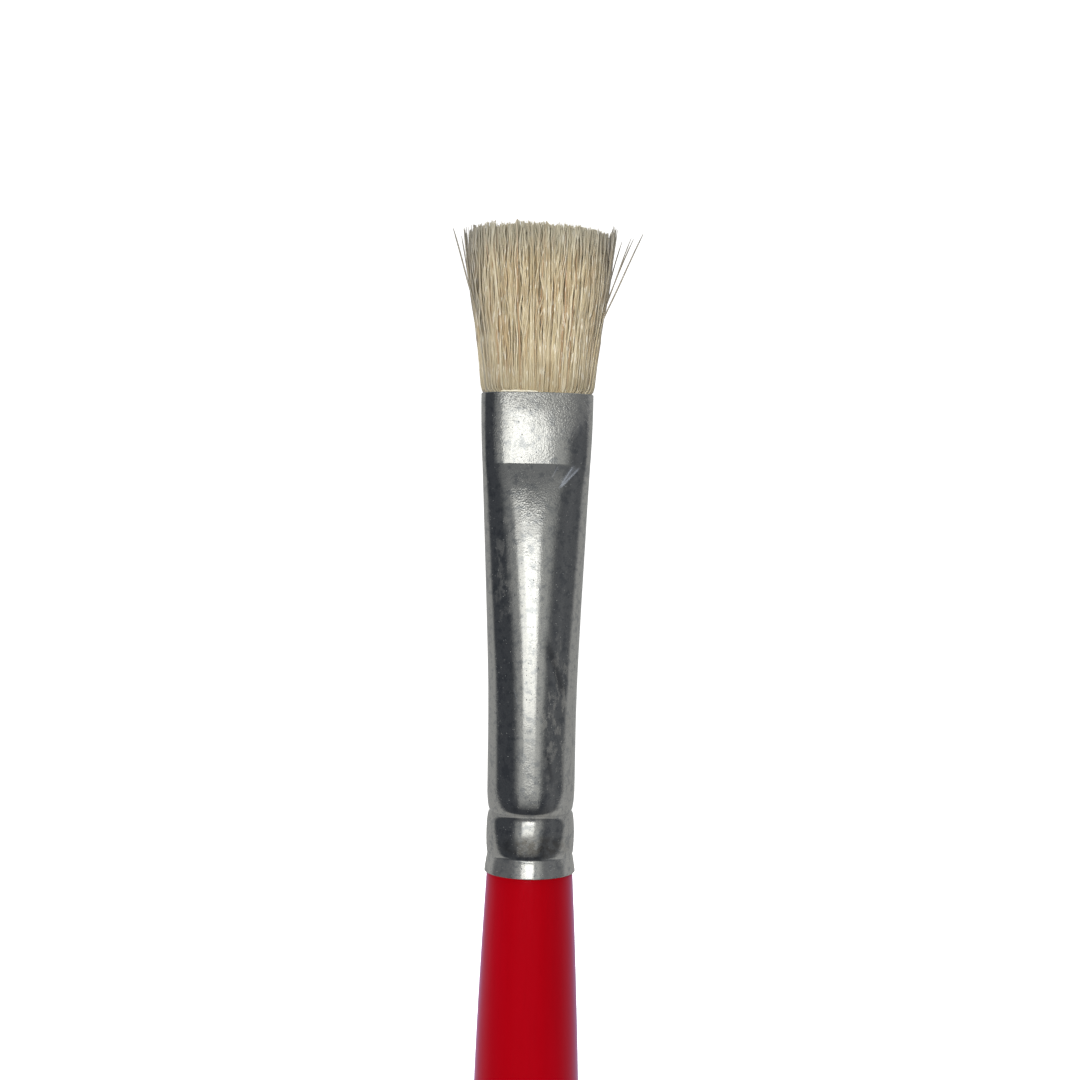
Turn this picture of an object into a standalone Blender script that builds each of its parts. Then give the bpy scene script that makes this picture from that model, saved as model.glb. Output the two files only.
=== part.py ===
"""Flat-ferrule hog bristle stencil brush, upright, in metres.

+Z runs along the brush from the butt of the handle to the tips of the bristles. The wide front face looks
towards -Y. The origin is on the brush's axis, at the belly of the handle, where fingers or a stand hold it.
The tuft bends about an axis along X at the ferrule's mouth.
"""

import math

import bmesh
import bpy
from mathutils import Vector

MM = 0.001

# Heights along the brush
BUTT_Z = -95.0 * MM
COLLAR_Z = 37.7 * MM
FERRULE_LENGTH = 42.3 * MM
MOUTH_Z = COLLAR_Z + FERRULE_LENGTH
TUFT_LENGTH = 15.0 * MM

# Ferrule: a round tube, pressed to a flat oval at its mouth. Its sections are superellipses.
SHEET = 0.3 * MM
TUBE_RADIUS = 3.9 * MM
MOUTH_HALF_WIDTH = 5.0 * MM
PAD_HALF_WIDTH = 4.8 * MM
PAD_HALF_DEPTH = 2.3 * MM
PAD_SQUARENESS = 2.25
PAD_LENGTH = 6.3 * MM
PAD_STEP_LENGTH = 1.3 * MM
PAD_STEP_RISE = 0.35 * MM
PRESSED_LENGTH = 26.3 * MM
STEP_FOOT = PAD_LENGTH + PAD_STEP_LENGTH
SLOPE_RINGS = 5
STEP_RINGS = 3
PAD_RINGS = 3

# Crimp, measured up from the ferrule's lower edge: height and outer radius of each crest and groove
LIP = (0.0, 4.05 * MM)
LOWER_GROOVE = (1.6 * MM, 3.79 * MM)
BEAD = (3.3 * MM, 3.93 * MM)
UPPER_GROOVE = (5.4 * MM, 3.62 * MM)
CRIMP_TOP = (7.6 * MM, TUBE_RADIUS)
CRIMP_STEPS = 3

# Handle outline: height over the butt, and radius. The butt is a ball with a small flat left by the lathe.
BUTT_FLAT_RADIUS = 1.5 * MM
HANDLE_OUTLINE = (
    (0.35 * MM, 2.0 * MM),
    (1.6 * MM, 2.45 * MM),
    (8.0 * MM, 2.55 * MM),
    (35.0 * MM, 3.3 * MM),
    (70.0 * MM, 4.75 * MM),
    (95.0 * MM, 5.15 * MM),
    (116.0 * MM, 4.58 * MM),
    (126.0 * MM, 4.17 * MM),
    (COLLAR_Z - BUTT_Z - 0.3 * MM, 3.84 * MM),
)
OUTLINE_STEPS = 3
TENON_LENGTH = 15.0 * MM
TENON_CHAMFER = 0.8 * MM

# Hidden pieces. Each keeps a small gap to its neighbours. Depths are below the mouth.
GAP = 0.15 * MM
GLUE_THICKNESS = 0.2 * MM
GLUE_START = 0.8 * MM
GLUE_LENGTH = 12.0 * MM
PLUG_BOTTOM = 19.5 * MM
PLUG_TOP = 11.5 * MM
PLUG_POCKET = 2.5 * MM
PLUG_RIM = 0.35 * MM
PLUG_STEPS = 4
ROOT_TOP = 1.2 * MM
ROOT_SLACK = 0.1 * MM
ROOT_SHOULDER = 0.6 * MM
THREAD_RADIUS = 0.17 * MM
THREAD_PITCH = 0.45 * MM
THREAD_TURNS = 5
THREAD_TOP = 7.6 * MM
THREAD_BOTTOM = THREAD_TOP + THREAD_PITCH * THREAD_TURNS
THREAD_STEPS = 30

# Tuft outside the ferrule: height over the mouth, half width, half depth and squareness. It is drawn in at
# its heel, so that the heel turns freely inside the mouth.
TUFT_EDGE = 6.1 * MM
TUFT_HALF_DEPTH = 3.1 * MM
TUFT_OUTLINE = (
    (0.3 * MM, 4.25 * MM, 1.5 * MM, 2.25),
    (1.0 * MM, 4.6 * MM, 1.6 * MM, 2.3),
    (2.4 * MM, 4.95 * MM, 2.0 * MM, 2.35),
    (5.0 * MM, 5.3 * MM, 2.4 * MM, 2.5),
    (7.8 * MM, 5.75 * MM, 2.75 * MM, 2.6),
    (10.0 * MM, 6.0 * MM, 2.95 * MM, 2.7),
    (13.0 * MM, TUFT_EDGE, TUFT_HALF_DEPTH, 2.8),
    (14.3 * MM, TUFT_EDGE, TUFT_HALF_DEPTH, 2.8),
    (14.8 * MM, 5.0 * MM, 2.6 * MM, 2.6),
    (TUFT_LENGTH, 2.6 * MM, 1.4 * MM, 2.4),
)

# Locks of bristles just off the edges of the tuft. Each swells from a thin foot to its full thickness.
LOCK_START = 4.5 * MM
LOCK_HALF_DEPTH = 0.8 * MM
LOCK_THICKNESS = 0.55 * MM
LOCK_FOOT_SHARE = 0.45
LOCK_LEFT_TOP = 14.2 * MM
LOCK_RIGHT_TOP = 14.4 * MM
LOCK_STEPS = 6
LOCK_SIDES = 10

# Stray bristles: side, depth, height they leave the tuft at, reach beyond the tuft's edge, and tip height
STRAY_RADIUS = 0.08 * MM
STRAY_TIP_SHARE = 0.6
STRAY_FAN = 0.25
STRAY_BOW = 0.45
STRAY_STEPS = 7
STRAYS = (
    (-1, -1.4 * MM, 6.5 * MM, 1.75 * MM, 14.2 * MM),
    (-1, 1.4 * MM, 7.5 * MM, 0.95 * MM, 14.3 * MM),
    (1, -1.85 * MM, 6.5 * MM, 2.75 * MM, 14.1 * MM),
    (1, -1.35 * MM, 7.0 * MM, 2.4 * MM, 14.3 * MM),
    (1, 1.35 * MM, 6.0 * MM, 1.85 * MM, 14.1 * MM),
    (1, 1.85 * MM, 6.6 * MM, 1.25 * MM, 14.0 * MM),
)

SIDES = 40
SHARP_ANGLE = math.radians(35)
COLOURS = {
    "red_lacquer": ((0.34, 0.0, 0.004), 0.12, 0.0),
    "nickel_plate": ((0.56, 0.56, 0.53), 0.3, 1.0),
    "hog_bristle": ((0.46, 0.38, 0.24), 0.5, 0.0),
    "cured_resin": ((0.42, 0.28, 0.09), 0.15, 0.0),
    "wood_glue": ((0.7, 0.58, 0.32), 0.4, 0.0),
    "cotton_thread": ((0.75, 0.72, 0.65), 0.8, 0.0),
}


# --- helpers ---------------------------------------------------------------


def clear_scene():
    for obj in list(bpy.data.objects):
        bpy.data.objects.remove(obj, do_unlink=True)


def material(name):
    found = bpy.data.materials.get(name)
    if found:
        return found
    colour, roughness, metallic = COLOURS[name]
    made = bpy.data.materials.new(name)
    made.use_nodes = True
    shader = made.node_tree.nodes["Principled BSDF"]
    shader.inputs["Base Color"].default_value = (*colour, 1.0)
    shader.inputs["Roughness"].default_value = roughness
    shader.inputs["Metallic"].default_value = metallic
    return made


def place(name, data, material_name, parent=None):
    """Add an object whose data is given in world places, under a parent that may stand elsewhere."""
    obj = bpy.data.objects.new(name, data)
    bpy.context.collection.objects.link(obj)
    obj.data.materials.append(material(material_name))
    if parent:
        obj.parent = parent
        obj.location = -parent.location
    return obj


def loft(name, rings, material_name, hollow=False, parent=None):
    """A closed skin over rings of equal length, which run upwards and turn from +X to +Y.

    A solid piece gets a flat cap at both ends. A hollow piece's rings run up outside and down inside,
    and the last ring joins the first.
    """
    bm = bmesh.new()
    loops = [[bm.verts.new(point) for point in ring] for ring in rings]
    pairs = list(zip(loops, loops[1:]))
    if hollow:
        pairs.append((loops[-1], loops[0]))
    else:
        bm.faces.new(list(reversed(loops[0])))
        bm.faces.new(loops[-1])
    for low, high in pairs:
        for i in range(len(low)):
            j = (i + 1) % len(low)
            bm.faces.new((low[i], low[j], high[j], high[i]))
    mesh = bpy.data.meshes.new(name)
    bm.to_mesh(mesh)
    bm.free()
    mesh.shade_smooth()
    mesh.set_sharp_from_angle(angle=SHARP_ANGLE)
    return place(name, mesh, material_name, parent)


def tube(name, points, radius, material_name, tip_share=1.0, parent=None):
    """A strand with six sides along points, which may thin to tip_share of its radius."""
    curve = bpy.data.curves.new(name, "CURVE")
    curve.dimensions = "3D"
    curve.bevel_depth = radius
    curve.bevel_resolution = 1
    curve.use_fill_caps = True
    spline = curve.splines.new("POLY")
    spline.points.add(len(points) - 1)
    for i, point in enumerate(points):
        share = i / (len(points) - 1)
        spline.points[i].co = (*point, 1.0)
        spline.points[i].radius = 1.0 + (tip_share - 1.0) * share
    return place(name, curve, material_name, parent)


def between(table, z):
    """Each column of a table at height z, on straight lines between the table's rows."""
    if z <= table[0][0]:
        return table[0][1:]
    for low, high in zip(table, table[1:]):
        if z <= high[0]:
            share = (z - low[0]) / (high[0] - low[0])
            return tuple(a + (b - a) * share for a, b in zip(low[1:], high[1:]))
    return table[-1][1:]


def smooth_outline(points, steps):
    """Points on a smooth curve through an outline, steps to each stretch (Catmull-Rom in height)."""
    out = []
    last = len(points) - 1
    for i in range(last):
        (z0, r0), (z1, r1) = points[i], points[i + 1]
        before, after = points[max(i - 1, 0)], points[min(i + 2, last)]
        slope0 = (r1 - before[1]) / (z1 - before[0])
        slope1 = (after[1] - r0) / (after[0] - z0)
        length = z1 - z0
        for k in range(steps):
            t = k / steps
            radius = (
                (2 * t**3 - 3 * t**2 + 1) * r0
                + (t**3 - 2 * t**2 + t) * length * slope0
                + (3 * t**2 - 2 * t**3) * r1
                + (t**3 - t**2) * length * slope1
            )
            out.append((z0 + t * length, radius))
    out.append(points[-1])
    return out


def oval_point(angle, half_width, half_depth, squareness):
    """A point of a superellipse: squareness 2 is an ellipse, and more is squarer."""
    c, s = math.cos(angle), math.sin(angle)
    x = half_width * math.copysign(abs(c) ** (2 / squareness), c)
    y = half_depth * math.copysign(abs(s) ** (2 / squareness), s)
    return x, y


def oval(z, half_width, half_depth, squareness=2.0):
    angles = (2 * math.pi * i / SIDES for i in range(SIDES))
    return [Vector((*oval_point(a, half_width, half_depth, squareness), z)) for a in angles]


def circle(radius, z):
    return oval(z, radius, radius)


# --- ferrule shape ---------------------------------------------------------


def pressed_section(below_mouth, inset):
    """Half width, half depth and squareness of the ferrule this far below its mouth, drawn in by inset."""
    foot_depth = PAD_HALF_DEPTH + PAD_STEP_RISE
    if below_mouth <= PAD_LENGTH:
        pressed = 1.0
        flare = 1 - (below_mouth / PAD_LENGTH) ** 2
        half_width = PAD_HALF_WIDTH + (MOUTH_HALF_WIDTH - PAD_HALF_WIDTH) * flare
        half_depth = PAD_HALF_DEPTH
    else:
        pressed = max((PRESSED_LENGTH - below_mouth) / (PRESSED_LENGTH - PAD_LENGTH), 0.0)
        half_width = TUBE_RADIUS + (PAD_HALF_WIDTH - TUBE_RADIUS) * pressed
        step = min((below_mouth - PAD_LENGTH) / PAD_STEP_LENGTH, 1.0)
        slope = (below_mouth - STEP_FOOT) / (PRESSED_LENGTH - STEP_FOOT)
        slope = min(max(slope, 0.0), 1.0)
        half_depth = PAD_HALF_DEPTH + PAD_STEP_RISE * math.sin(step * math.pi / 2)
        half_depth += (TUBE_RADIUS - foot_depth) * slope
    squareness = 2.0 + (PAD_SQUARENESS - 2.0) * pressed
    return half_width - inset, half_depth - inset, squareness


def ferrule_ring(below_mouth, inset):
    return oval(MOUTH_Z - below_mouth, *pressed_section(below_mouth, inset))


def crimp_profile():
    """Height over the lower edge and outer radius, along the lip, the bead and the two sharp grooves."""
    stretches = (
        (LOWER_GROOVE, LIP),
        (LOWER_GROOVE, BEAD),
        (UPPER_GROOVE, BEAD),
        (UPPER_GROOVE, CRIMP_TOP),
    )
    profile = {}
    for groove, crest in stretches:
        for k in range(CRIMP_STEPS + 1):
            angle = k / CRIMP_STEPS * math.pi / 2
            height = groove[0] + (crest[0] - groove[0]) * (1 - math.cos(angle))
            radius = groove[1] + (crest[1] - groove[1]) * math.sin(angle)
            profile[round(height / MM, 6)] = (height, radius)
    return [profile[key] for key in sorted(profile)]


def crimp_rings(inset, start=0.0):
    rows = [(height, radius) for height, radius in crimp_profile() if height >= start]
    return [circle(radius - inset, COLLAR_Z + height) for height, radius in rows]


def ferrule_skin(inset):
    """Rings of the ferrule from its lower edge to its mouth, drawn in by inset."""
    depths = []
    for start, end, steps in (
        (PRESSED_LENGTH, STEP_FOOT, SLOPE_RINGS),
        (STEP_FOOT, PAD_LENGTH, STEP_RINGS),
        (PAD_LENGTH, 0.0, PAD_RINGS),
    ):
        depths += [start + (end - start) * k / steps for k in range(steps)]
    return crimp_rings(inset) + [ferrule_ring(depth, inset) for depth in depths + [0.0]]


# --- pieces ----------------------------------------------------------------


def make_handle():
    """Turned handle with a butt flat, a belly, and a tenon that follows the crimp inside the ferrule."""
    rings = [circle(BUTT_FLAT_RADIUS, BUTT_Z)]
    for height, radius in smooth_outline(HANDLE_OUTLINE, OUTLINE_STEPS):
        rings.append(circle(radius, BUTT_Z + height))
    tenon_inset = SHEET + GLUE_THICKNESS + 2 * GAP
    rings.append(circle(LIP[1] - tenon_inset, BUTT_Z + HANDLE_OUTLINE[-1][0]))
    rings += crimp_rings(tenon_inset)
    tenon_radius = TUBE_RADIUS - tenon_inset
    rings.append(circle(tenon_radius, COLLAR_Z + TENON_LENGTH - TENON_CHAMFER))
    rings.append(circle(tenon_radius - TENON_CHAMFER, COLLAR_Z + TENON_LENGTH))
    loft("handle", rings, "red_lacquer")


def make_ferrule():
    rings = ferrule_skin(0.0) + list(reversed(ferrule_skin(SHEET)))
    loft("ferrule", rings, "nickel_plate", hollow=True)


def make_tenon_glue():
    outside = SHEET + GAP
    inside = outside + GLUE_THICKNESS
    top = COLLAR_Z + GLUE_LENGTH
    outer = crimp_rings(outside, GLUE_START) + [circle(TUBE_RADIUS - outside, top)]
    inner = crimp_rings(inside, GLUE_START) + [circle(TUBE_RADIUS - inside, top)]
    loft("tenon_glue", outer + list(reversed(inner)), "wood_glue", hollow=True)


def make_root_plug():
    """Resin across the ferrule under the roots, with a shallow pocket that the roots stand in."""
    outside = SHEET + GAP
    rise = (PLUG_TOP - PLUG_BOTTOM) / PLUG_STEPS
    depths = [PLUG_BOTTOM + rise * k for k in range(PLUG_STEPS + 1)]
    rings = [ferrule_ring(depth, outside) for depth in depths]
    rings += [ferrule_ring(depth, outside + PLUG_RIM) for depth in (PLUG_TOP, PLUG_TOP + PLUG_POCKET)]
    loft("root_plug", rings, "cured_resin")


def make_bristle_roots():
    """Packed roots, drawn in at a waist where the thread goes round them."""
    loose = SHEET + GAP + ROOT_SLACK
    tied = SHEET + 2 * GAP + 2 * THREAD_RADIUS + ROOT_SLACK
    in_plug = SHEET + 2 * GAP + PLUG_RIM
    margin = THREAD_RADIUS + GAP
    stations = (
        (PLUG_TOP + PLUG_POCKET - GAP, in_plug),
        (PLUG_TOP - GAP, in_plug),
        (THREAD_BOTTOM + margin, tied),
        (THREAD_TOP - margin, tied),
        (THREAD_TOP - margin - ROOT_SHOULDER, loose),
        (PAD_LENGTH / 2, loose),
        (ROOT_TOP, loose),
    )
    rings = [ferrule_ring(depth, inset) for depth, inset in stations]
    loft("bristle_roots", rings, "hog_bristle")


def make_root_binding():
    """Thread wound round the waist of the roots in a flattened helix."""
    inset = SHEET + GAP + THREAD_RADIUS
    points = []
    for i in range(THREAD_STEPS * THREAD_TURNS + 1):
        turns = i / THREAD_STEPS
        depth = THREAD_BOTTOM - THREAD_PITCH * turns
        x, y = oval_point(2 * math.pi * turns, *pressed_section(depth, inset))
        points.append((x, y, MOUTH_Z - depth))
    tube("root_binding", points, THREAD_RADIUS, "cotton_thread")


def tuft_edge(height, depth):
    """Half width of the tuft at a height over the mouth, measured at a depth off its middle."""
    half_width, half_depth, squareness = between(TUFT_OUTLINE, height)
    inside = 1 - abs(depth / half_depth) ** squareness
    return half_width * inside ** (1 / squareness)


def make_tuft(pivot):
    rings = [oval(MOUTH_Z + height, *section) for height, *section in TUFT_OUTLINE]
    loft("bristle_tuft", rings, "hog_bristle", parent=pivot)


def make_lock(name, side, top, pivot):
    """A thin sliver of bristles that lies along one edge of the tuft."""
    rings = []
    for k in range(LOCK_STEPS + 1):
        share = k / LOCK_STEPS
        height = LOCK_START + (top - LOCK_START) * share
        swell = LOCK_FOOT_SHARE + (1 - LOCK_FOOT_SHARE) * math.sin(math.pi / 2 * share)
        half = LOCK_THICKNESS / 2 * swell
        middle = side * (between(TUFT_OUTLINE, height)[0] + GAP + half)
        ring = []
        for i in range(LOCK_SIDES):
            a = 2 * math.pi * i / LOCK_SIDES
            x = middle + half * math.cos(a)
            y = LOCK_HALF_DEPTH * swell * math.sin(a)
            ring.append(Vector((x, y, MOUTH_Z + height)))
        rings.append(ring)
    loft(name, rings, "hog_bristle", parent=pivot)


def make_stray(number, side, depth, start, reach, tip_height, pivot):
    """A single bristle that leaves the edge of the tuft in a curve."""
    root_x = tuft_edge(start, depth) + GAP + STRAY_RADIUS
    tip_x = TUFT_EDGE + reach
    points = []
    for k in range(STRAY_STEPS + 1):
        share = k / STRAY_STEPS
        x = root_x + (tip_x - root_x) * ((1 - STRAY_BOW) * share + STRAY_BOW * share**2)
        y = depth * (1 + STRAY_FAN * share)
        points.append((side * x, y, MOUTH_Z + start + (tip_height - start) * share))
    name = f"stray_bristle_{number}"
    tube(name, points, STRAY_RADIUS, "hog_bristle", STRAY_TIP_SHARE, pivot)


def main():
    clear_scene()
    make_handle()
    make_ferrule()
    make_tenon_glue()
    make_root_plug()
    make_bristle_roots()
    make_root_binding()
    pivot = bpy.data.objects.new("tuft_pivot", None)
    pivot.location = (0.0, 0.0, MOUTH_Z)
    bpy.context.collection.objects.link(pivot)
    make_tuft(pivot)
    make_lock("edge_lock_left", -1, LOCK_LEFT_TOP, pivot)
    make_lock("edge_lock_right", 1, LOCK_RIGHT_TOP, pivot)
    for number, stray in enumerate(STRAYS, 1):
        make_stray(number, *stray, pivot)


main()
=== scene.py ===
import math

import bpy
import numpy as np
from mathutils import Matrix, Vector, noise


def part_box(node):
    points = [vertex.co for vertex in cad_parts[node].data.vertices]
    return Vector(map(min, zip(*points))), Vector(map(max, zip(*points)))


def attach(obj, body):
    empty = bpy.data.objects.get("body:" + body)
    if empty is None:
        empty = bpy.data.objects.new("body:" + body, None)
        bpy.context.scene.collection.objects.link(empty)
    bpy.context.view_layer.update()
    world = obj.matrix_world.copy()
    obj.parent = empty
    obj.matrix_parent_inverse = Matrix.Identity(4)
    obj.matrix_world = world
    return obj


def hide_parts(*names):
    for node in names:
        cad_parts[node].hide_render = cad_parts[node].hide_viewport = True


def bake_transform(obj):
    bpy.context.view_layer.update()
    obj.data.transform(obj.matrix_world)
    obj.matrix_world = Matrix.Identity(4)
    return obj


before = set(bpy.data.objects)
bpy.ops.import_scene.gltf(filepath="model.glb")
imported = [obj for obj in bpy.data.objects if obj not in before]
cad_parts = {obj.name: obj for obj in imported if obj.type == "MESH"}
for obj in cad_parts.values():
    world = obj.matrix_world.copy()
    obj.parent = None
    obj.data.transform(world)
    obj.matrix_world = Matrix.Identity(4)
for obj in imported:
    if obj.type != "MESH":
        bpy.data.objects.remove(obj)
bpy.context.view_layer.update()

MM = 0.001
RNG = np.random.default_rng(1604)


def in_mm(*rows):
    """Rows of sizes in millimetres, as metres."""
    return tuple(tuple(value * MM for value in row) for row in rows)


# Places taken from the frame
BUTT_Z, TENON_TOP_Z = (corner.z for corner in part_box("handle"))
COLLAR_Z, MOUTH_Z = (corner.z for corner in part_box("ferrule"))
FERRULE_LENGTH = MOUTH_Z - COLLAR_Z
TUFT_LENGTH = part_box("bristle_tuft")[1].z - MOUTH_Z

# Ferrule sections: the CAD's sizes, with a squarer pad and a softer step. A squareness of 2 is an
# ellipse, and more is squarer.
ROUND = 2.0
SHEET = 0.3 * MM
TUBE_RADIUS = 3.9 * MM
MOUTH_HALF_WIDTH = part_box("ferrule")[1].x
PAD_HALF_WIDTH = 4.8 * MM
PAD_HALF_DEPTH = 2.3 * MM
PAD_SQUARENESS = 2.8
SLOPE_SQUARENESS = 2.22
PAD_LENGTH = 6.3 * MM
PAD_STEP_REACH = 1.5 * MM
PAD_STEP_RISE = 0.35 * MM
PRESSED_LENGTH = 26.3 * MM
PRESSED_FADE = 10.0
LIP = (0.0, 4.05 * MM)
LIP_STRAIGHTNESS = 0.8
LOWER_GROOVE = (1.6 * MM, 3.79 * MM)
BEAD = (3.3 * MM, 3.93 * MM)
UPPER_GROOVE = (5.4 * MM, 3.62 * MM)
CRIMP_TOP = (7.6 * MM, TUBE_RADIUS)
# The bead drops into the groove above it by a short wall, for this share of the drop
GROOVE_WALL = 0.12 * MM
WALL_SHARE = 0.45
# Rounding of the sheet's edges, and the zone where the rings are closest
EDGE_ROUND = 0.07 * MM
EDGE_ZONE = 0.12 * MM
FERRULE_SIDES = 224

# Marks of hand use: soft ripples all round, and one long dent in the front
WIDE_RIPPLE = 0.009 * MM
FINE_RIPPLE = 0.001 * MM
DENT_ACROSS = 1.95 * MM
DENT_BELOW_MOUTH = 24.2 * MM
DENT_RUN = (0.33, -0.944)
DENT_HALF_WIDTH = 0.45 * MM
DENT_HALF_LENGTH = 2.3 * MM
DENT_DEPTH = 0.06 * MM

# Handle outline, as in the CAD: height over the butt, and radius. Its neck fills the ferrule's lip.
BUTT_FLAT_RADIUS = 1.5 * MM
SHOULDER_ROUND = 0.3 * MM
NECK_RADIUS = 3.69 * MM
TENON_INSET = 0.8 * MM
TENON_CHAMFER = 0.8 * MM
HANDLE_SIDES = 160
TURNING_WANDER = 0.0022
HANDLE_OUTLINE = (
    *in_mm((0.35, 2.0), (1.6, 2.45), (8.0, 2.55), (35.0, 3.3), (70.0, 4.75), (95.0, 5.15)),
    *in_mm((116.0, 4.58), (126.0, 4.17)),
    (COLLAR_Z - BUTT_Z - SHOULDER_ROUND, 3.84 * MM),
)

# Camera: close by, nearly square on (its azimuth is in degrees) and a little rolled
CAMERA_DISTANCE = 132 * MM
CAMERA_AZIMUTH = -4.35
CAMERA_SIDE = 0.44 * MM
CAMERA_Z = MOUTH_Z - 12.95 * MM
CAMERA_ROLL = math.radians(0.96)
CAMERA_LENS = 49.46


# --- mesh helpers ---


def add_mesh(name, vertices, faces, sharp_from):
    """A smooth-shaded piece whose edges are sharp from this many degrees."""
    mesh = bpy.data.meshes.new(name)
    mesh.from_pydata([tuple(v) for v in vertices], [], faces)
    mesh.update()
    mesh.shade_smooth()
    mesh.set_sharp_from_angle(angle=math.radians(sharp_from))
    obj = bpy.data.objects.new(name, mesh)
    bpy.context.scene.collection.objects.link(obj)
    return obj


def ring_faces(ring_count, sides, closed):
    """Quads between rings of equal length. Closed joins the last ring to the first."""
    faces = []
    for k in range(ring_count if closed else ring_count - 1):
        low = k * sides
        high = ((k + 1) % ring_count) * sides
        for i in range(sides):
            j = (i + 1) % sides
            faces.append((low + i, low + j, high + j, high + i))
    return faces


def capped_faces(ring_count, sides):
    """Quads between open rings, with a flat cap at each end."""
    first_cap = tuple(reversed(range(sides)))
    last_cap = tuple(range((ring_count - 1) * sides, ring_count * sides))
    return [*ring_faces(ring_count, sides, False), first_cap, last_cap]


def smooth_value(table, x):
    """Catmull-Rom through a table of (x, value) rows, flat beyond its ends."""
    xs = [row[0] for row in table]
    if x <= xs[0]:
        return table[0][1]
    if x >= xs[-1]:
        return table[-1][1]
    i = max(k for k in range(len(xs) - 1) if xs[k] <= x)
    last = len(table) - 1
    (x0, v0), (x1, v1) = table[i], table[i + 1]
    before, after = table[max(i - 1, 0)], table[min(i + 2, last)]
    slope0 = (v1 - before[1]) / (x1 - before[0])
    slope1 = (after[1] - v0) / (after[0] - x0)
    t = (x - x0) / (x1 - x0)
    length = x1 - x0
    return (
        (2 * t**3 - 3 * t**2 + 1) * v0
        + (t**3 - 2 * t**2 + t) * length * slope0
        + (3 * t**2 - 2 * t**3) * v1
        + (t**3 - t**2) * length * slope1
    )


# --- materials ---


class Nodes:
    """A short way to write a node tree, for a material or for the world."""

    def __init__(self, tree, coords):
        self.tree = tree
        self.shader = tree.nodes.get("Principled BSDF")
        self.coords = tree.nodes.new("ShaderNodeTexCoord").outputs[coords]

    def link(self, out, into):
        self.tree.links.new(out, into)

    def feed(self, socket, value):
        if hasattr(value, "is_linked"):
            self.link(value, socket)
        elif isinstance(value, tuple) and len(value) < len(socket.default_value):
            socket.default_value = (*value, 1.0)
        else:
            socket.default_value = value

    def set(self, **values):
        for key, value in values.items():
            self.feed(self.shader.inputs[key.replace("_", " ")], value)

    def scaled(self, x, y, z):
        node = self.tree.nodes.new("ShaderNodeMapping")
        node.inputs["Scale"].default_value = (x, y, z)
        self.link(self.coords, node.inputs["Vector"])
        return node.outputs["Vector"]

    def noise(self, scale, detail=3.0, roughness=0.5, vector=None):
        node = self.tree.nodes.new("ShaderNodeTexNoise")
        node.inputs["Scale"].default_value = scale
        node.inputs["Detail"].default_value = detail
        node.inputs["Roughness"].default_value = roughness
        self.link(vector or self.coords, node.inputs["Vector"])
        return node.outputs["Fac"]

    def cells(self, scale, vector=None):
        node = self.tree.nodes.new("ShaderNodeTexVoronoi")
        node.inputs["Scale"].default_value = scale
        self.link(vector or self.coords, node.inputs["Vector"])
        return node.outputs["Distance"]

    def range(self, value, low, high, out_low=0.0, out_high=1.0):
        """A soft ramp: out_low where the value is at low, out_high where it is at high."""
        node = self.tree.nodes.new("ShaderNodeMapRange")
        node.interpolation_type = "SMOOTHSTEP"
        self.link(value, node.inputs["Value"])
        node.inputs["From Min"].default_value = low
        node.inputs["From Max"].default_value = high
        node.inputs["To Min"].default_value = out_low
        node.inputs["To Max"].default_value = out_high
        return node.outputs["Result"]

    def math(self, operation, a, b=0.0):
        node = self.tree.nodes.new("ShaderNodeMath")
        node.operation = operation
        self.feed(node.inputs[0], a)
        self.feed(node.inputs[1], b)
        return node.outputs["Value"]

    def plus(self, a, b):
        return self.math("ADD", a, b)

    def minus(self, a, b):
        return self.math("SUBTRACT", a, b)

    def times(self, a, b):
        return self.math("MULTIPLY", a, b)

    def mix(self, share, a, b, blend_type="MIX"):
        node = self.tree.nodes.new("ShaderNodeMix")
        node.data_type = "RGBA"
        node.blend_type = blend_type
        self.feed(node.inputs[0], share)
        self.feed(node.inputs[6], a)
        self.feed(node.inputs[7], b)
        return node.outputs[2]

    def dot(self, vector, fixed):
        node = self.tree.nodes.new("ShaderNodeVectorMath")
        node.operation = "DOT_PRODUCT"
        self.link(vector, node.inputs[0])
        node.inputs[1].default_value = fixed
        return node.outputs["Value"]

    def bump(self, height, distance, normal=None):
        node = self.tree.nodes.new("ShaderNodeBump")
        node.inputs["Distance"].default_value = distance
        self.link(height, node.inputs["Height"])
        if normal:
            self.link(normal, node.inputs["Normal"])
        return node.outputs["Normal"]

    def attribute(self, name):
        """The three channels of a colour attribute of the mesh."""
        node = self.tree.nodes.new("ShaderNodeAttribute")
        node.attribute_name = name
        split = self.tree.nodes.new("ShaderNodeSeparateColor")
        self.link(node.outputs["Color"], split.inputs["Color"])
        return split.outputs


def new_material(name):
    material = bpy.data.materials.new(name)
    material.use_nodes = True
    return material, Nodes(material.node_tree, "Object")


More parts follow.
